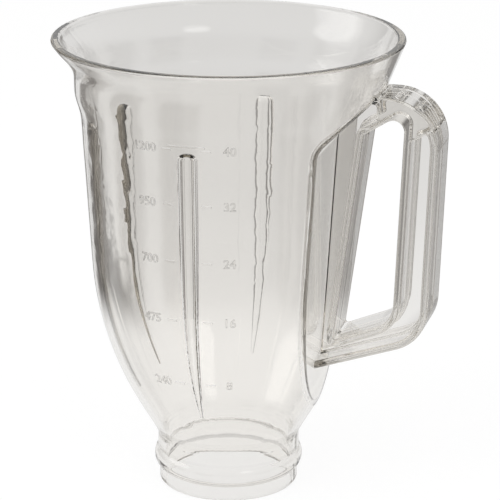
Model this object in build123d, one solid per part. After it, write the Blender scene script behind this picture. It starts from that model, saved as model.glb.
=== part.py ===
from build123d import *
import math
import os

# A clear blender jar, moulded in one piece: neck, bell, mouth, loop handle and ribs.
# Millimetres, +Z up, the handle along +X and the pouring lip along -X.
# The origin is the centre of the neck's open foot, on which the jar stands.

# Overall
JAR_HEIGHT = 198.0
WALL = 2.6

# Neck: a plain foot ring, a bead around it, and a straight stretch up to the bell
NECK_BORE_R = 27.6
FOOT_R = 30.2
FOOT_ROUND = 1.2
NECK_R = 30.9
NECK_HEIGHT = 23.0
NECK_ROUND = 8.0
BEAD_Z = 11.2
BEAD_HEIGHT = 9.2
BEAD_PROUD = 1.5

# Bell: a cone that one long round turns into the nearly upright wall
SHOULDER_R = 56.4
SHOULDER_Z = 67.0
SHOULDER_ROUND = 143.0
BELL_TOP_R = 62.3
BELL_STATIONS = 12

# Mouth: a straight cone on the handle's side, into which the wall turns over the mouth blend, and on the
# other side drawn in by the lip pull, so that the wall stays steep there and flares out late into the
# pouring lip. The lip rise is the share of the mouth's height at which the pull is largest, and the lip
# sharpness sets how suddenly the flare starts
MOUTH_HEIGHT = 30.5
MOUTH_BLEND = 4.0
MOUTH_STATIONS = 10
RIM_R = 74.5
RIM_WIDTH = 3.9
RIM_OUTER_ROUND = 0.8
RIM_INNER_ROUND = 1.2
LIP_PULL = 4.1
LIP_RISE = 0.6
LIP_SHARPNESS = 6.0

# Finger panel: the wall behind the handle is flat, under a sloping ceiling
PANEL_R = 47.8
PANEL_DROP = 7.0
PANEL_LEAN = 3.5
PANEL_CEILING_LEAN = 47.0
PANEL_CORNER_ROUND = 8.0
PANEL_EDGE_ROUND = 6.0

# Ribs inside the wall: round-topped fingers that sink into the wall towards the neck. A higher fullness
# keeps them wide further down
RIB_ANGLES = (90.0, 158.0, -158.0, -90.0)
RIB_DROP = 4.7
RIB_FOOT_Z = 43.0
RIB_TOP_RADIUS = 4.2
RIB_FOOT_RADIUS = 0.7
RIB_TOP_STAND = 4.2
RIB_FOOT_STAND = 0.5
RIB_FULLNESS = 3.5
RIB_STATIONS = 13
RIB_TOP_ROUND = 3.2

# Handle: a loop of I section, two flanges and a web. The inner flange goes right round the finger hole,
# and on the jar's side the web carries it off the finger panel. The grip comes in by the taper towards
# its foot, and the two finger rooms are the hole's width under the roof and over the floor
HANDLE_WIDTH = 26.0
HANDLE_REACH = 92.8
HANDLE_TAPER = 3.6
HANDLE_DROP = 19.0
HANDLE_TOP_ROUND = 21.0
HANDLE_LOW_Z = 74.8
HANDLE_LOW_LEAN = 19.0
HANDLE_LOW_ROUND = 19.0
GRIP_THICKNESS = 14.5
GRIP_ROOF_DEPTH = 5.6
GRIP_ROOF_LEAN = 31.8
GRIP_ROOF_ROUND = 4.5
GRIP_FLOOR_DEPTH = 7.6
GRIP_FLOOR_LEAN = 22.6
GRIP_FLOOR_ROUND = 12.0
FINGER_ROOM_TOP = 17.1
FINGER_ROOM_LOW = 25.5
LEG_ROUND = 1.0
FLANGE = 3.2
WEB = 4.0
CHANNEL_STOP = 12.0
CHANNEL_CORNER = 1.2
CHANNEL_ROUND = 1.1
HANDLE_EDGE_ROUND = 1.3

MOUTH_Z = JAR_HEIGHT - MOUTH_HEIGHT
BELL_Z = NECK_HEIGHT + NECK_ROUND / 2
CONE_LEAN = math.atan2(SHOULDER_R - NECK_R, SHOULDER_Z - NECK_HEIGHT)
WALL_LEAN = math.atan2(BELL_TOP_R - SHOULDER_R, MOUTH_Z - SHOULDER_Z)
HANDLE_TOP_Z = JAR_HEIGHT - HANDLE_DROP
HANDLE_LOW_REACH = HANDLE_REACH - HANDLE_TAPER
OVERSHOOT = 2.0
SAME_PLACE = 0.001


def inset_corner(corner, lean_below, lean_above, inset):
    """The corner of two lines in the radius-height plane, after both move inwards by the inset."""
    below = Vector(-math.cos(lean_below), math.sin(lean_below))
    above = Vector(-math.cos(lean_above), math.sin(lean_above))
    return Vector(corner) + (below + above) * (inset / (1 + below.dot(above)))


def bell_line(inset, neck_r, foot_z):
    """The wall in the radius-height plane, from the neck up to the mouth, moved inwards by the inset."""
    neck_z = NECK_HEIGHT + (neck_r - NECK_R + inset / math.cos(CONE_LEAN)) / math.tan(CONE_LEAN)
    shoulder = inset_corner((SHOULDER_R, SHOULDER_Z), CONE_LEAN, WALL_LEAN, inset)
    top = (BELL_TOP_R - inset / math.cos(WALL_LEAN), MOUTH_Z)
    rounds = [NECK_ROUND + inset, SHOULDER_ROUND - inset]
    return FilletPolyline((neck_r, foot_z), (neck_r, neck_z), shoulder, top, radius=rounds)


def fraction_at(line, height):
    """How far along a rising line in the radius-height plane a height is reached, from 0 to 1."""
    low = 0.0
    high = 1.0
    for _ in range(40):
        middle = (low + high) / 2
        if (line @ middle).Y < height:
            low = middle
        else:
            high = middle
    return middle


def turned(*lines):
    """The solid that a closed outline in the radius-height plane makes about the jar's axis."""
    return revolve(Plane.XZ * make_face(lines), Axis.Z)


def ring(radius, height, shift=0.0):
    """A level disc, whose seam is on the lip's side."""
    return Pos(shift, 0, height) * Rot(0, 0, 180) * Circle(radius)


def mouth_turn(above):
    """How much of a height above the mouth's start counts as cone: none well below it, and all well above."""
    near = min(max(above, -MOUTH_BLEND), MOUTH_BLEND)
    return (near + MOUTH_BLEND) ** 2 / (4 * MOUTH_BLEND) + max(above - MOUTH_BLEND, 0)


def lip_pull(rise):
    """How far the lip's side is drawn in, at a share of the mouth's height."""
    below = (max(rise, 0) / LIP_RISE) ** (LIP_SHARPNESS * LIP_RISE)
    above = ((1 - rise) / (1 - LIP_RISE)) ** (LIP_SHARPNESS * (1 - LIP_RISE))
    return LIP_PULL * below * above


def body(line, rim_r):
    """The bell and mouth as one full solid, from just above the neck to the rim."""
    rings = []
    for step in range(BELL_STATIONS):
        height = BELL_Z + (MOUTH_Z - BELL_Z) * step / BELL_STATIONS
        rings.append(ring((line @ fraction_at(line, height)).X, height))
    start_r = (line @ 1).X
    flare = (rim_r - start_r) / MOUTH_HEIGHT - math.tan(WALL_LEAN)
    for step in range(-1, MOUTH_STATIONS + 1):
        rise = step / MOUTH_STATIONS
        above = MOUTH_HEIGHT * rise
        shift = lip_pull(rise) / 2
        cone_r = start_r + above * math.tan(WALL_LEAN) + flare * mouth_turn(above)
        rings.append(ring(cone_r - shift, MOUTH_Z + above, shift))
    return loft(rings)


def neck(line, foot_z):
    """The neck as a full solid, from a foot height up to the bell's start."""
    start = line.trim(0, fraction_at(line, BELL_Z))
    return turned(start, Polyline(start @ 1, (0, BELL_Z), (0, foot_z), start @ 0))


def foot_ring():
    """The plain ring at the foot, and the bead around it."""
    rounds = [0, FOOT_ROUND, 0, 0]
    foot = FilletPolyline((0, 0), (FOOT_R, 0), (FOOT_R, BEAD_Z), (0, BEAD_Z), radius=rounds, close=True)
    low = (FOOT_R, BEAD_Z - BEAD_HEIGHT / 2)
    high = (FOOT_R, BEAD_Z + BEAD_HEIGHT / 2)
    crown = ThreePointArc(low, (NECK_R + BEAD_PROUD, BEAD_Z), high)
    back = Polyline(high, (NECK_BORE_R, BEAD_Z), low)
    return turned(foot) + turned(crown, back)


def rim_rounded(shell):
    """The hollow jar with both edges of its rim rounded."""
    outer = shell.faces().sort_by(Axis.Z)[-1].edges().sort_by(SortBy.LENGTH)[-1]
    rounded = fillet(outer, RIM_OUTER_ROUND)
    inner = rounded.faces().sort_by(Axis.Z)[-1].edges().sort_by(SortBy.LENGTH)[0]
    return fillet(inner, RIM_INNER_ROUND)


def panel_line(inset):
    """The finger panel's corner and its two ends in the radius-height plane, moved inwards by the inset."""
    floor_lean = math.radians(PANEL_LEAN)
    ceiling_lean = math.radians(PANEL_CEILING_LEAN)
    corner = inset_corner((PANEL_R, MOUTH_Z - PANEL_DROP), floor_lean, ceiling_lean, inset)
    low = corner - Vector(math.tan(floor_lean), 1) * corner.Y
    high = corner + Vector(1, 1 / math.tan(ceiling_lean)) * (HANDLE_REACH - corner.X)
    return low, corner, high


def panelled(solid, inset, edge_round):
    """A full solid with the finger panel cut into it, and the panel's border rounded."""
    low, corner, high = panel_line(inset)
    rounds = [0, PANEL_CORNER_ROUND + inset, 0, 0]
    outline = FilletPolyline(low, corner, high, (HANDLE_REACH, low.Y), radius=rounds, close=True)
    block = extrude(Plane.XZ * make_face(outline), HANDLE_REACH, both=True)
    cut = solid - block
    border = new_edges(solid, block, combined=cut).filter_by(GeomType.LINE, reverse=True)
    return fillet(border, edge_round)


def rib(line):
    """One rib, at +X: a finger along the wall's inner line, with a round top."""
    first = fraction_at(line, RIB_FOOT_Z)
    last = fraction_at(line, MOUTH_Z - RIB_DROP)
    discs = []
    for step in range(RIB_STATIONS):
        rise = step / (RIB_STATIONS - 1)
        along = first + (last - first) * rise
        width = 1 - (1 - rise) ** RIB_FULLNESS
        radius = RIB_FOOT_RADIUS + (RIB_TOP_RADIUS - RIB_FOOT_RADIUS) * width
        stand = RIB_FOOT_STAND + (RIB_TOP_STAND - RIB_FOOT_STAND) * rise
        way = line % along
        centre = line @ along + Vector(-way.Y, way.X) * (stand - radius)
        plane = Plane((centre.X, 0, centre.Y), x_dir=(way.Y, 0, -way.X), z_dir=(way.X, 0, way.Y))
        discs.append(plane * Circle(radius))
    finger = loft(discs, ruled=True)
    return fillet(finger.faces().sort_by(Axis.Z)[-1].edges(), RIB_TOP_ROUND)


def handle_outline():
    """The handle's whole outline, seen from the side and reaching into the jar."""
    root = PANEL_R / 2
    low_z = HANDLE_LOW_Z - (HANDLE_LOW_REACH - root) * math.tan(math.radians(HANDLE_LOW_LEAN))
    top = [(root, HANDLE_TOP_Z), (HANDLE_REACH, HANDLE_TOP_Z)]
    corners = [*top, (HANDLE_LOW_REACH, HANDLE_LOW_Z), (root, low_z)]
    return make_face(FilletPolyline(*corners, radius=[0, HANDLE_TOP_ROUND, HANDLE_LOW_ROUND, 0], close=True))


def roof_corner():
    """The finger hole's upper corner at the grip, seen from the side."""
    return Vector(HANDLE_REACH - GRIP_THICKNESS, HANDLE_TOP_Z - GRIP_ROOF_DEPTH)


def finger_hole():
    """The finger hole, seen from the side."""
    roof = roof_corner()
    floor = Vector(HANDLE_LOW_REACH - GRIP_THICKNESS, HANDLE_LOW_Z + GRIP_FLOOR_DEPTH)
    leg_top = roof - Vector(1, math.tan(math.radians(GRIP_ROOF_LEAN))) * FINGER_ROOM_TOP
    leg_foot = floor - Vector(1, math.tan(math.radians(GRIP_FLOOR_LEAN))) * FINGER_ROOM_LOW
    rounds = [LEG_ROUND, GRIP_ROOF_ROUND, GRIP_FLOOR_ROUND, LEG_ROUND]
    return make_face(FilletPolyline(leg_top, roof, floor, leg_foot, radius=rounds, close=True))


def channel():
    """The hollow between the two flanges, seen from the side: it stops short of the bend at the grip's top."""
    stop = roof_corner()
    hollow = offset(handle_outline(), -FLANGE) - offset(finger_hole(), FLANGE)
    hollow -= Pos(stop.X, stop.Y) * Circle(CHANNEL_STOP)
    ends = hollow.vertices().filter_by(lambda point: abs((Vector(point) - stop).length - CHANNEL_STOP) < SAME_PLACE)
    return fillet(ends, CHANNEL_CORNER)


def handle():
    """The loop handle of I section, with its edges rounded."""
    loop = extrude(Plane.XZ * (handle_outline() - finger_hole()), HANDLE_WIDTH / 2, both=True)
    cutter = extrude(Plane.XZ * channel(), -HANDLE_WIDTH)
    cutter = Pos(0, WEB / 2, 0) * fillet(cutter.faces().sort_by(Axis.Y)[0].edges(), CHANNEL_ROUND)
    loop -= cutter
    loop -= mirror(cutter, Plane.XZ)
    rims = loop.edges().filter_by(lambda edge: abs(edge.bounding_box().size.Y) < SAME_PLACE)
    rims = rims.filter_by(lambda edge: abs(edge.center().Y) > HANDLE_WIDTH / 2 - SAME_PLACE)
    return fillet(rims, HANDLE_EDGE_ROUND)


outer_line = bell_line(0, NECK_R, BEAD_Z)
inner_line = bell_line(WALL, NECK_BORE_R, -OVERSHOOT)

outside = panelled(body(outer_line, RIM_R), 0, PANEL_EDGE_ROUND)
outside += neck(outer_line, BEAD_Z)
outside += foot_ring()
outside += handle()

inside = panelled(body(inner_line, RIM_R - RIM_WIDTH), WALL, PANEL_EDGE_ROUND - WALL)
inside += neck(inner_line, -OVERSHOOT)
one_rib = rib(inner_line)
for angle in RIB_ANGLES:
    inside -= Rot(0, 0, angle) * one_rib

jar = rim_rounded(outside - inside)
print("solids", len(jar.solids()), "valid", jar.is_valid, "plastic in ml", round(jar.volume / 1000, 1))

os.makedirs("parts", exist_ok=True)
export_step(jar.solid(), "parts/blender_jar.step")
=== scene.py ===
import logging
import math
from dataclasses import dataclass
from enum import Enum

import bpy
from mathutils import Matrix, Vector


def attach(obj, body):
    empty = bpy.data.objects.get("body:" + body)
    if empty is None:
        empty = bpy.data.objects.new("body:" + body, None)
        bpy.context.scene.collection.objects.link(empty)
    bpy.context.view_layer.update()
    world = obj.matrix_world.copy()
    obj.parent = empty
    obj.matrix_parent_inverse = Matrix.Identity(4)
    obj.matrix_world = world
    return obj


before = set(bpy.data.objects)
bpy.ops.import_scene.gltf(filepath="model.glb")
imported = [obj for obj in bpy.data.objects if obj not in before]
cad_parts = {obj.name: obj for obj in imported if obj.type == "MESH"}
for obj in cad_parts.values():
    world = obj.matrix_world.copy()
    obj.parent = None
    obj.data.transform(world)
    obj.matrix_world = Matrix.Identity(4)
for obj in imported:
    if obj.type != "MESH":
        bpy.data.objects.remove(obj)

LOG = logging.getLogger("blender_jar")
BODY = "root"
JAR_NODE = "blender_jar"
MERGE_DISTANCE = 1e-7
SAME_PLACE = 1e-9

# The Mix node's sockets for colours, which share their names with those for numbers
MIX_COLOURS = (6, 7)
MIX_RESULT = 2

# Moulding marks: upright streaks over a ripple, and clouds of haze and tone
STREAK_STRETCH = (1.0, 1.0, 0.12)
STREAK_FINENESS = 3.0
STREAK_SHARE = 0.25
CLOUD_FINENESS = 2.0
HAZE_SPAN = (0.45, 0.75)
TONE_SPAN = (0.3, 0.7)

Colour = tuple[float, float, float]
Span = tuple[float, float]


class Column(Enum):
    """A column of the volume scale, by the side of the front rib that it stands on."""

    MILLILITRES = -1
    OUNCES = 1


def deselect_all() -> None:
    """Leave nothing selected, so that an operator acts on its own piece alone."""
    bpy.ops.object.select_all(action="DESELECT")


def link(tree: bpy.types.NodeTree, source: bpy.types.NodeSocket, target: bpy.types.NodeSocket) -> None:
    """Join two sockets of a node tree."""
    tree.links.new(source, target)


def maths(tree: bpy.types.NodeTree, operation: str, first: object, second: object = None,
          third: object = None) -> bpy.types.NodeSocket:
    """Add a Math node.

    Args:
        tree: The tree that the node goes into.
        operation: The Math node's operation.
        first: A socket or a number.
        second: A socket or a number, or None where the operation takes one value.
        third: A socket or a number, or None where the operation takes two values.

    Returns:
        The node's value socket.
    """
    node = tree.nodes.new("ShaderNodeMath")
    node.operation = operation
    for socket, value in zip(node.inputs, (first, second, third)):
        if isinstance(value, bpy.types.NodeSocket):
            link(tree, value, socket)
        elif value is not None:
            socket.default_value = value
    return node.outputs["Value"]


def eased(tree: bpy.types.NodeTree, value: bpy.types.NodeSocket, start: float, end: float,
          low: float = 0.0, high: float = 1.0) -> bpy.types.NodeSocket:
    """Turn a value into a soft step.

    Args:
        tree: The tree that the node goes into.
        value: The socket to read.
        start: The value at which the step begins.
        end: The value at which the step is complete.
        low: What comes out before the step.
        high: What comes out after the step.

    Returns:
        The step's socket.
    """
    node = tree.nodes.new("ShaderNodeMapRange")
    node.interpolation_type = "SMOOTHSTEP"
    link(tree, value, node.inputs["Value"])
    for name, number in (("From Min", start), ("From Max", end), ("To Min", low), ("To Max", high)):
        node.inputs[name].default_value = number
    return node.outputs["Result"]


def blended(tree: bpy.types.NodeTree, share: bpy.types.NodeSocket, first: object,
            second: object) -> bpy.types.NodeSocket:
    """Mix two colours.

    Args:
        tree: The tree that the node goes into.
        share: The share of the second colour.
        first: A colour or a colour socket.
        second: A colour or a colour socket.

    Returns:
        The mixed colour's socket.
    """
    node = tree.nodes.new("ShaderNodeMix")
    node.data_type = "RGBA"
    link(tree, share, node.inputs["Factor"])
    for index, value in zip(MIX_COLOURS, (first, second)):
        socket = node.inputs[index]
        if isinstance(value, bpy.types.NodeSocket):
            link(tree, value, socket)
        else:
            socket.default_value = (*value, 1)
    return node.outputs[MIX_RESULT]


def grey(tree: bpy.types.NodeTree, tone: bpy.types.NodeSocket) -> bpy.types.NodeSocket:
    """Turn a tone into a grey colour."""
    node = tree.nodes.new("ShaderNodeCombineColor")
    for socket in node.inputs:
        link(tree, tone, socket)
    return node.outputs["Color"]


def noise(tree: bpy.types.NodeTree, place: bpy.types.NodeSocket, scale: bpy.types.NodeSocket,
          detail: float) -> bpy.types.NodeSocket:
    """Add a noise texture.

    Args:
        tree: The tree that the node goes into.
        place: The place to read the noise at.
        scale: The noise's scale.
        detail: How many finer layers it has.

    Returns:
        The noise's value socket.
    """
    node = tree.nodes.new("ShaderNodeTexNoise")
    node.inputs["Detail"].default_value = detail
    link(tree, place, node.inputs["Vector"])
    link(tree, scale, node.inputs["Scale"])
    return node.outputs["Fac"]


def moulding_marks() -> bpy.types.NodeTree:
    """Make the node group for what a mould leaves on clear plastic.

    Returns:
        A group that puts out a haze, a ripple height and a tone, each changing over the surface.
    """
    group = bpy.data.node_groups.new("moulding_marks", "ShaderNodeTree")
    face = group.interface
    face.new_socket("Place", in_out="INPUT", socket_type="NodeSocketVector")
    for name in ("Ripple Scale", "Haze Low", "Haze High"):
        face.new_socket(name, in_out="INPUT", socket_type="NodeSocketFloat")
    for name in ("Haze", "Ripple", "Tone"):
        face.new_socket(name, in_out="OUTPUT", socket_type="NodeSocketFloat")
    given = group.nodes.new("NodeGroupInput")
    result = group.nodes.new("NodeGroupOutput")
    place = given.outputs["Place"]
    scale = given.outputs["Ripple Scale"]
    ripple = noise(group, place, scale, detail=1.0)
    upright = group.nodes.new("ShaderNodeMapping")
    upright.inputs["Scale"].default_value = STREAK_STRETCH
    link(group, place, upright.inputs["Vector"])
    streak_scale = maths(group, "MULTIPLY", scale, STREAK_FINENESS)
    streak = noise(group, upright.outputs["Vector"], streak_scale, detail=2.0)
    cloud_scale = maths(group, "MULTIPLY", scale, CLOUD_FINENESS)
    cloud = noise(group, place, cloud_scale, detail=4.0)
    haze = group.nodes.new("ShaderNodeMapRange")
    haze.inputs["From Min"].default_value, haze.inputs["From Max"].default_value = HAZE_SPAN
    link(group, cloud, haze.inputs["Value"])
    link(group, given.outputs["Haze Low"], haze.inputs["To Min"])
    link(group, given.outputs["Haze High"], haze.inputs["To Max"])
    link(group, haze.outputs["Result"], result.inputs["Haze"])
    link(group, maths(group, "MULTIPLY_ADD", streak, STREAK_SHARE, ripple), result.inputs["Ripple"])
    link(group, eased(group, cloud, *TONE_SPAN), result.inputs["Tone"])
    return group


@dataclass(frozen=True)
class ClearPlastic:
    """A clear moulded plastic, with the faint ripple, haze and tone that its mould gives it."""

    name: str
    pale: Colour
    deep: Colour
    haze_low: float
    haze_high: float
    ripple_scale: float
    ripple_strength: float
    ripple_depth: float
    body_colour: Colour
    body_density: float
    index: float = 1.585

    def make(self, marks: bpy.types.NodeTree) -> bpy.types.Material:
        """Make the material.

        Args:
            marks: The group of moulding marks.

        Returns:
            The clear material.
        """
        material = bpy.data.materials.new(self.name)
        material.use_nodes = True
        tree = material.node_tree
        shader = tree.nodes["Principled BSDF"]
        shader.inputs["Metallic"].default_value = 0
        shader.inputs["IOR"].default_value = self.index
        shader.inputs["Transmission Weight"].default_value = 1
        place = tree.nodes.new("ShaderNodeTexCoord")
        mould = tree.nodes.new("ShaderNodeGroup")
        mould.node_tree = marks
        link(tree, place.outputs["Object"], mould.inputs["Place"])
        mould.inputs["Ripple Scale"].default_value = self.ripple_scale
        mould.inputs["Haze Low"].default_value = self.haze_low
        mould.inputs["Haze High"].default_value = self.haze_high
        link(tree, mould.outputs["Haze"], shader.inputs["Roughness"])
        link(tree, blended(tree, mould.outputs["Tone"], self.pale, self.deep), shader.inputs["Base Color"])
        bump = tree.nodes.new("ShaderNodeBump")
        bump.inputs["Strength"].default_value = self.ripple_strength
        bump.inputs["Distance"].default_value = self.ripple_depth
        link(tree, mould.outputs["Ripple"], bump.inputs["Height"])
        link(tree, bump.outputs["Normal"], shader.inputs["Normal"])
        body = tree.nodes.new("ShaderNodeVolumeAbsorption")
        body.inputs["Color"].default_value = (*self.body_colour, 1)
        body.inputs["Density"].default_value = self.body_density
        link(tree, body.outputs["Volume"], tree.nodes["Material Output"].inputs["Volume"])
        return material


JAR_PLASTIC = ClearPlastic(
    name="clear_moulded_plastic", pale=(0.99, 0.978, 0.958), deep=(0.978, 0.966, 0.946),
    haze_low=0.0, haze_high=0.012, ripple_scale=14.0, ripple_strength=0.03, ripple_depth=0.0015,
    body_colour=(0.89, 0.88, 0.86), body_density=60.0)
RAISED_PLASTIC = ClearPlastic(
    name="raised_clear_plastic", pale=(0.985, 0.98, 0.97), deep=(0.965, 0.96, 0.95),
    haze_low=0.04, haze_high=0.12, ripple_scale=400.0, ripple_strength=0.2, ripple_depth=0.0001,
    body_colour=(0.87, 0.86, 0.84), body_density=100.0)


@dataclass
class Jar:
    """The moulded jar, which is the CAD node with its own finish."""

    finish: ClearPlastic

    def dress(self, marks: bpy.types.NodeTree) -> bpy.types.Object:
        """Give the CAD node its clear plastic.

        Args:
            marks: The group of moulding marks.

        Returns:
            The jar's object.
        """
        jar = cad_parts[JAR_NODE]
        material = self.finish.make(marks)
        for slot in jar.material_slots:
            slot.material = material
        if not jar.material_slots:
            jar.data.materials.append(material)
        return jar


@dataclass
class VolumeScale:
    """The raised volume scale on the jar's front: ticks and figures on both sides of the rib."""

    jar: bpy.types.Object
    finish: ClearPlastic
    facing: float = math.radians(-90)
    heights: tuple[float, ...] = (0.1648, 0.1414, 0.1169, 0.0909, 0.0609)
    millilitres: tuple[str, ...] = ("1200", "950", "700", "475", "240")
    ounces: tuple[str, ...] = ("40", "32", "24", "16", "8")
    tick_turn: float = math.radians(7.6)
    figure_turn: float = math.radians(16.5)
    tick_length: float = 0.0042
    tick_height: float = 0.0009
    figure_size: float = 0.0053
    fill_length: float = 0.016
    fill_height: float = 0.1663
    relief: float = 0.0004
    edge: float = 0.00012
    stand_off: float = 0.00005
    bar_cuts: tuple[float, ...] = (-0.3, -0.1, 0.1, 0.3)
    edge_steps: int = 2
    curve_steps: int = 4
    look_from: float = 0.2

    def wall_at(self, turn: float, height: float) -> tuple[Vector, Vector]:
        """Find the jar's outer wall.

        Args:
            turn: The angle about the jar's axis, from +X.
            height: The height above the jar's foot.

        Returns:
            The point on the wall, and the wall's outward normal there.
        """
        outwards = Vector((math.cos(turn), math.sin(turn), 0))
        start = outwards * self.look_from + Vector((0, 0, height))
        _, place, normal, _ = self.jar.ray_cast(start, -outwards)
        return place, normal

    def wrap(self, piece: bpy.types.Object, turn: float, height: float) -> None:
        """Lay a flat piece on the wall.

        Args:
            piece: A piece drawn flat in the XY plane, with its relief along Z.
            turn: The angle of its middle about the jar's axis.
            height: The height of its middle above the jar's foot.
        """
        middle, _ = self.wall_at(turn, height)
        radius = math.hypot(middle.x, middle.y)
        for point in piece.data.vertices:
            place, normal = self.wall_at(turn + point.co.x / radius, height + point.co.y)
            point.co = place + normal * (self.stand_off + point.co.z)

    def bar(self, length: float) -> bpy.types.Object:
        """Model a flat raised bar.

        Args:
            length: The bar's length.

        Returns:
            The bar, in the XY plane with its back at Z = 0, cut along its length and rounded in front.
        """
        deselect_all()
        bpy.ops.mesh.primitive_cube_add(size=1)
        bar = bpy.context.object
        bpy.ops.object.mode_set(mode="EDIT")
        bpy.ops.transform.resize(value=(length, self.tick_height, self.relief))
        bpy.ops.transform.translate(value=(0, 0, self.relief / 2))
        for share in self.bar_cuts:
            bpy.ops.mesh.select_all(action="SELECT")
            bpy.ops.mesh.bisect(plane_co=(length * share, 0, 0), plane_no=(1, 0, 0))
        bpy.ops.object.mode_set(mode="OBJECT")
        for part in (bar.data.vertices, bar.data.polygons):
            for item in part:
                item.select = False
        for edge in bar.data.edges:
            ends = [bar.data.vertices[index].co for index in edge.vertices]
            across = abs(ends[0].x - ends[1].x) < SAME_PLACE
            crosses = across and abs(ends[0].x) < length / 2 - self.edge
            in_front = min(ends[0].z, ends[1].z) > self.relief / 2
            edge.select = in_front and not crosses
        bpy.ops.object.mode_set(mode="EDIT")
        bpy.ops.mesh.bevel(offset=self.edge, segments=self.edge_steps, affect="EDGES")
        bpy.ops.mesh.select_all(action="SELECT")
        bpy.ops.mesh.remove_doubles(threshold=MERGE_DISTANCE)
        bpy.ops.mesh.normals_make_consistent(inside=False)
        bpy.ops.object.mode_set(mode="OBJECT")
        return bar

    def copy_of(self, piece: bpy.types.Object) -> bpy.types.Object:
        """Copy a piece, with a mesh of its own.

        Args:
            piece: The piece to copy.

        Returns:
            The copy.
        """
        deselect_all()
        piece.select_set(True)
        bpy.context.view_layer.objects.active = piece
        bpy.ops.object.duplicate(linked=False)
        return bpy.context.object

    def figure(self, text: str) -> bpy.types.Object:
        """Model a raised number.

        Args:
            text: The number's digits.

        Returns:
            The number as a closed mesh in the XY plane, with its back at Z = 0.
        """
        deselect_all()
        bpy.ops.object.text_add()
        figure = bpy.context.object
        figure.data.body = text
        figure.data.size = self.figure_size
        figure.data.align_x = "CENTER"
        figure.data.align_y = "CENTER"
        figure.data.extrude = self.relief / 2 - self.edge / 2
        figure.data.bevel_depth = self.edge / 2
        figure.data.resolution_u = self.curve_steps
        bpy.ops.object.convert(target="MESH")
        figure = bpy.context.object
        figure.data.transform(Matrix.Translation((0, 0, self.relief / 2)))
        bpy.ops.object.mode_set(mode="EDIT")
        bpy.ops.mesh.select_all(action="SELECT")
        bpy.ops.mesh.remove_doubles(threshold=MERGE_DISTANCE)
        bpy.ops.mesh.normals_make_consistent(inside=False)
        bpy.ops.object.mode_set(mode="OBJECT")
        return figure

    def joined(self, name: str, pieces: list[bpy.types.Object]) -> bpy.types.Object:
        """Join the pieces of a column.

        Args:
            name: The column's name.
            pieces: Its ticks and figures, already on the wall.

        Returns:
            The column as one piece.
        """
        deselect_all()
        for piece in pieces:
            piece.select_set(True)
        bpy.context.view_layer.objects.active = pieces[0]
        bpy.ops.object.join()
        column = bpy.context.object
        column.name = name
        column.data.name = name
        return column

    def column(self, side: Column, tick: bpy.types.Object) -> bpy.types.Object:
        """Build one column of the scale.

        Args:
            side: The column.
            tick: The tick to copy.

        Returns:
            The column as one piece.
        """
        figures = self.millilitres if side is Column.MILLILITRES else self.ounces
        pieces = []
        for height, text in zip(self.heights, figures):
            mark = self.copy_of(tick)
            self.wrap(mark, self.facing + side.value * self.tick_turn, height)
            number = self.figure(text)
            self.wrap(number, self.facing + side.value * self.figure_turn, height)
            pieces += [mark, number]
        return self.joined("scale_" + side.name.lower(), pieces)

    def build(self) -> list[bpy.types.Object]:
        """Build both columns and the fill line over the rib.

        Returns:
            The three pieces.
        """
        tick = self.bar(self.tick_length)
        columns = [self.column(side, tick) for side in Column]
        bpy.data.objects.remove(tick)
        fill_line = self.bar(self.fill_length)
        fill_line.name = "fill_line"
        self.wrap(fill_line, self.facing, self.fill_height)
        return [*columns, fill_line]

    def dress(self, pieces: list[bpy.types.Object], marks: bpy.types.NodeTree) -> None:
        """Give the raised pieces their finish, and fix them to the jar.

        Args:
            pieces: The scale's pieces.
            marks: The group of moulding marks.
        """
        material = self.finish.make(marks)
        for piece in pieces:
            piece.data.materials.clear()
            piece.data.materials.append(material)
            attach(piece, BODY)
            LOG.info("raised %s with %d faces", piece.name, len(piece.data.polygons))


@dataclass(frozen=True)
class DarkReflectionBand:
    """A painted dark reflection: a dark band of the surroundings that only glossy and transmission rays see,
    which draws dark lines on the jar's edges and ribs.
    """

    turn: float
    half_width: float
    softness: float
    depth: float


@dataclass(frozen=True)
class PaintedHighlight:
    """A painted highlight: a soft bright oval in the surroundings that only glossy and transmission rays
    see, so it lights nothing and shows only on the jar.
    """

    turn: float
    rise: float
    half_width: float
    half_height: float
    strength: float


@dataclass(frozen=True)
class Lamp:
    """A soft square lamp, which lights the floor and isn't mirrored."""

    name: str
    place: tuple[float, float, float]
    size: float
    power: float


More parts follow.
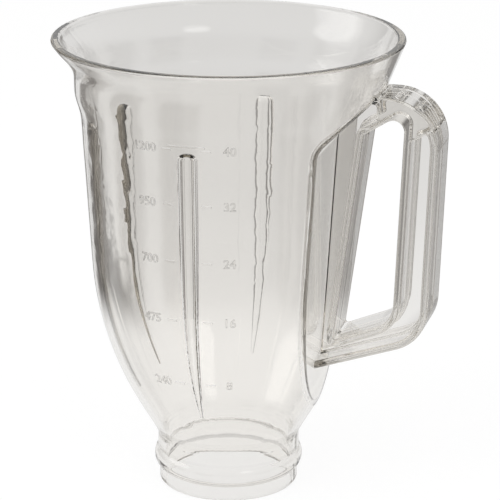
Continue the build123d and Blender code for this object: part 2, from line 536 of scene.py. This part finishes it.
@dataclass
class Studio:
    """The camera, the pale floor, the white surroundings with the painted reflections that only the jar
    shows, and the soft lights.
    """

    azimuth: float = math.radians(16)
    distance: float = 0.9704
    height: float = 0.4173
    pitch: float = math.radians(17.89)
    sensor: float = 36.0
    lens: float = 171.07
    shift_x: float = 0.043
    floor_reach: float = 3.0
    floor_glow: float = 0.9
    floor_shade: float = 0.16
    # Greys that only glossy and transmission rays see: painted shade on the floor near and far from the jar,
    # and the painted room tone above the horizon.
    near_tone: float = 0.79
    far_tone: float = 0.68
    room_tone: float = 0.92
    backdrop_tone: float = 1.0
    bounce_tone: float = 0.5
    floor_fade: Span = (0.08, 0.5)
    # Distance from the jar at which the painted dark reflections begin on the floor.
    floor_dark_reflection_start: Span = (0.16, 0.26)
    room_fade: Span = (0.0, 0.5)
    # Heights of a ray's direction over which the painted dark reflections fade out.
    dark_reflection_top: Span = (0.08, 0.3)
    # The soft border of the painted highlights.
    highlight_border: Span = (1.5, 0.6)
    light_bounces: int = 32
    # Painted dark reflections: a warm near-black, and the bands of it that only glossy and transmission rays
    # see.
    dark_reflection_colour: Colour = (0.06, 0.05, 0.044)
    dark_reflection_bands: tuple[DarkReflectionBand, ...] = (
        DarkReflectionBand(0.0, 12.0, 8.0, 0.1), DarkReflectionBand(20.5, 3.5, 2.0, 0.9), DarkReflectionBand(53.5, 15.5, 2.5, 1.0),
        DarkReflectionBand(98.0, 13.0, 4.0, 1.0), DarkReflectionBand(142.5, 14.0, 4.0, 0.9), DarkReflectionBand(-38.0, 11.0, 3.0, 0.8),
        DarkReflectionBand(-82.5, 14.0, 4.0, 0.8), DarkReflectionBand(-127.5, 13.0, 4.0, 0.7))
    # Painted highlights: bright ovals that only glossy and transmission rays see, for the flares on the jar.
    painted_highlights: tuple[PaintedHighlight, ...] = (PaintedHighlight(90.0, 26.0, 22.0, 11.0, 2.2), PaintedHighlight(-150.0, 31.0, 11.0, 8.0, 2.2))
    lamp_target: tuple[float, float, float] = (0.0, 0.0, 0.1)
    lamp_set: tuple[Lamp, ...] = (
        Lamp("key_lamp", (-0.7, -0.9, 1.3), 1.2, 7.0), Lamp("fill_lamp", (0.9, -0.7, 1.1), 1.2, 4.0))

    def camera(self) -> bpy.types.Object:
        """Place the camera where the photograph was taken from.

        Returns:
            The camera's object.
        """
        data = bpy.data.cameras.new("camera")
        data.sensor_width = self.sensor
        data.lens = self.lens
        data.shift_x = self.shift_x
        eye = bpy.data.objects.new("camera", data)
        eye.location = (
            math.sin(self.azimuth) * self.distance, -math.cos(self.azimuth) * self.distance, self.height)
        eye.rotation_euler = (math.pi / 2 - self.pitch, 0, self.azimuth)
        bpy.context.scene.collection.objects.link(eye)
        bpy.context.scene.camera = eye
        return eye

    def heading(self, tree: bpy.types.NodeTree, place: bpy.types.NodeSocket) -> bpy.types.NodeSocket:
        """Turn a place or direction into a level direction of length 1."""
        flat = tree.nodes.new("ShaderNodeVectorMath")
        flat.operation = "MULTIPLY"
        link(tree, place, flat.inputs[0])
        flat.inputs[1].default_value = (1, 1, 0)
        unit = tree.nodes.new("ShaderNodeVectorMath")
        unit.operation = "NORMALIZE"
        link(tree, flat.outputs["Vector"], unit.inputs[0])
        return unit.outputs["Vector"]

    def facing(self, tree: bpy.types.NodeTree, heading: bpy.types.NodeSocket,
               turn: float) -> bpy.types.NodeSocket:
        """Compare a level direction with one side of the set.

        Args:
            tree: The tree that the node goes into.
            heading: The level direction to test.
            turn: The side, in degrees to the left of straight behind the jar.

        Returns:
            The cosine of the angle between the two.
        """
        angle = self.azimuth + math.pi / 2 + math.radians(turn)
        along = tree.nodes.new("ShaderNodeVectorMath")
        along.operation = "DOT_PRODUCT"
        link(tree, heading, along.inputs[0])
        along.inputs[1].default_value = (math.cos(angle), math.sin(angle), 0)
        return along.outputs["Value"]

    def sector(self, tree: bpy.types.NodeTree, heading: bpy.types.NodeSocket, turn: float, half_width: float,
               softness: float) -> bpy.types.NodeSocket:
        """Make a mask of one side of the set.

        Args:
            tree: The tree that the nodes go into.
            heading: The level direction to test.
            turn: The side's middle, in degrees to the left of straight behind the jar.
            half_width: Half the side's width in degrees.
            softness: Half the width of its soft border in degrees.

        Returns:
            A mask that is 1 inside and 0 outside.
        """
        outer = math.cos(math.radians(half_width + softness))
        inner = math.cos(math.radians(half_width - softness))
        return eased(tree, self.facing(tree, heading, turn), outer, inner)

    def oval(self, tree: bpy.types.NodeTree, heading: bpy.types.NodeSocket, rise: bpy.types.NodeSocket,
             highlight: PaintedHighlight) -> bpy.types.NodeSocket:
        """Make a mask of a painted highlight.

        Args:
            tree: The tree that the nodes go into.
            heading: The level direction to test.
            rise: The direction's upward part.
            highlight: The panel.

        Returns:
            A mask that is 1 inside the panel and 0 outside.
        """
        short_of = maths(tree, "SUBTRACT", 1.0, self.facing(tree, heading, highlight.turn))
        across = maths(tree, "DIVIDE", short_of, 1 - math.cos(math.radians(highlight.half_width)))
        middle = math.radians(highlight.rise)
        offset = maths(tree, "SUBTRACT", rise, math.sin(middle))
        share = maths(tree, "DIVIDE", offset, math.cos(middle) * math.radians(highlight.half_height))
        reach = maths(tree, "MULTIPLY_ADD", share, share, across)
        return eased(tree, reach, *self.highlight_border)

    def with_dark_reflections(self, tree: bpy.types.NodeTree, heading: bpy.types.NodeSocket,
               tone: bpy.types.NodeSocket) -> bpy.types.NodeSocket:
        """Set the painted dark reflections, dark bands, against a tone of the surroundings.

        Args:
            tree: The tree that the nodes go into.
            heading: The level direction from the jar.
            tone: The grey that the surroundings have without the dark bands.

        Returns:
            The colour of the surroundings.
        """
        colour = grey(tree, tone)
        # Each band is a painted dark reflection.
        for band in self.dark_reflection_bands:
            mask = self.sector(tree, heading, band.turn, band.half_width, band.softness)
            colour = blended(tree, maths(tree, "MULTIPLY", mask, band.depth), colour, self.dark_reflection_colour)
        return colour

    def seen_in_glass(self, tree: bpy.types.NodeTree) -> bpy.types.NodeSocket:
        """A mask that is 1 for rays that have been through or off the jar."""
        path = tree.nodes.new("ShaderNodeLightPath")
        return maths(tree, "MAXIMUM", path.outputs["Is Glossy Ray"], path.outputs["Is Transmission Ray"])

    def seen_direct(self, tree: bpy.types.NodeTree) -> bpy.types.NodeSocket:
        """A mask that is 1 for the camera's own rays."""
        return tree.nodes.new("ShaderNodeLightPath").outputs["Is Camera Ray"]

    def floor(self) -> bpy.types.Object:
        """Lay the pale floor that keeps the jar's shadow. To glossy and transmission rays it shows a grey,
        darker further from the jar, and beyond that the dark bands: painted shade and painted dark
        reflections, seen only through and on the jar.

        Returns:
            The floor's object.
        """
        deselect_all()
        bpy.ops.mesh.primitive_plane_add(size=self.floor_reach * 2)
        floor = bpy.context.object
        floor.name = "floor"
        material = bpy.data.materials.new("pale_floor")
        material.use_nodes = True
        tree = material.node_tree
        tree.nodes.remove(tree.nodes["Principled BSDF"])
        paint = tree.nodes.new("ShaderNodeBsdfDiffuse")
        paint.inputs["Color"].default_value = (*(self.floor_shade,) * 3, 1)
        place = tree.nodes.new("ShaderNodeTexCoord").outputs["Object"]
        away = tree.nodes.new("ShaderNodeVectorMath")
        away.operation = "LENGTH"
        link(tree, place, away.inputs[0])
        # Painted shade seen through the jar: the floor's grey for glass rays, darker further from the jar.
        tone = eased(tree, away.outputs["Value"], *self.floor_fade, self.near_tone, self.far_tone)
        far = eased(tree, away.outputs["Value"], *self.floor_dark_reflection_start)
        around = blended(tree, far, grey(tree, tone), self.with_dark_reflections(tree, self.heading(tree, place), tone))
        # The camera sees the evenly bright floor; glass rays see the painted greys and bands.
        shown = blended(tree, self.seen_direct(tree), around, (self.floor_glow,) * 3)
        glow = tree.nodes.new("ShaderNodeEmission")
        link(tree, shown, glow.inputs["Color"])
        seen = maths(tree, "MAXIMUM", self.seen_direct(tree), self.seen_in_glass(tree))
        link(tree, seen, glow.inputs["Strength"])
        both = tree.nodes.new("ShaderNodeAddShader")
        link(tree, paint.outputs["BSDF"], both.inputs[0])
        link(tree, glow.outputs["Emission"], both.inputs[1])
        link(tree, both.outputs["Shader"], tree.nodes["Material Output"].inputs["Surface"])
        floor.data.materials.append(material)
        return floor

    def surroundings(self) -> None:
        """Set the white that the camera sees behind the jar, and the painted surroundings that only the jar
        mirrors: a grey tone, dark bands and bright ovals, seen by glossy and transmission rays alone.
        """
        world = bpy.data.worlds.new("studio")
        bpy.context.scene.world = world
        world.use_nodes = True
        tree = world.node_tree
        back = tree.nodes["Background"]
        direction = tree.nodes.new("ShaderNodeTexCoord").outputs["Generated"]
        heading = self.heading(tree, direction)
        parts = tree.nodes.new("ShaderNodeSeparateXYZ")
        link(tree, direction, parts.inputs[0])
        rise = parts.outputs["Z"]
        # Painted shade and reflection: a grey, darker at the horizon, that only glass rays see.
        tone = eased(tree, rise, *self.room_fade, self.far_tone, self.room_tone)
        # Painted dark reflections low down, fading to the plain grey above.
        above_dark_reflections = eased(tree, rise, *self.dark_reflection_top)
        colour = blended(tree, above_dark_reflections, self.with_dark_reflections(tree, heading, tone), grey(tree, tone))
        # Painted highlights, seen only in the jar's reflections and refractions.
        for highlight in self.painted_highlights:
            mask = self.oval(tree, heading, rise, highlight)
            colour = blended(tree, mask, colour, (highlight.strength,) * 3)
        shown = blended(tree, self.seen_in_glass(tree), (self.bounce_tone,) * 3, colour)
        behind = blended(tree, self.seen_direct(tree), shown, (self.backdrop_tone,) * 3)
        link(tree, behind, back.inputs["Color"])

    def lamps(self) -> None:
        """Hang the soft lights that give the floor its shadow."""
        for given in self.lamp_set:
            data = bpy.data.lights.new(given.name, "AREA")
            data.size = given.size
            data.energy = given.power
            lamp = bpy.data.objects.new(given.name, data)
            lamp.location = given.place
            aim = Vector(self.lamp_target) - Vector(given.place)
            lamp.rotation_euler = aim.to_track_quat("-Z", "Y").to_euler()
            lamp.visible_glossy = False
            lamp.visible_transmission = False
            bpy.context.scene.collection.objects.link(lamp)

    def build(self) -> None:
        """Set up the whole studio."""
        scene = bpy.context.scene
        scene.view_settings.view_transform = "Standard"
        scene.cycles.max_bounces = self.light_bounces
        scene.cycles.glossy_bounces = self.light_bounces
        scene.cycles.transmission_bounces = self.light_bounces
        self.camera()
        self.floor()
        self.surroundings()
        self.lamps()


def main() -> None:
    """Dress the jar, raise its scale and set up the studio."""
    logging.basicConfig(level=logging.INFO, format="%(name)s: %(message)s")
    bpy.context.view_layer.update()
    marks = moulding_marks()
    jar = Jar(JAR_PLASTIC).dress(marks)
    LOG.info("dressed %s with %d faces", jar.name, len(jar.data.polygons))
    scale = VolumeScale(jar, RAISED_PLASTIC)
    scale.dress(scale.build(), marks)
    Studio().build()
    LOG.info("studio is set")


if __name__ == "__main__":
    main()
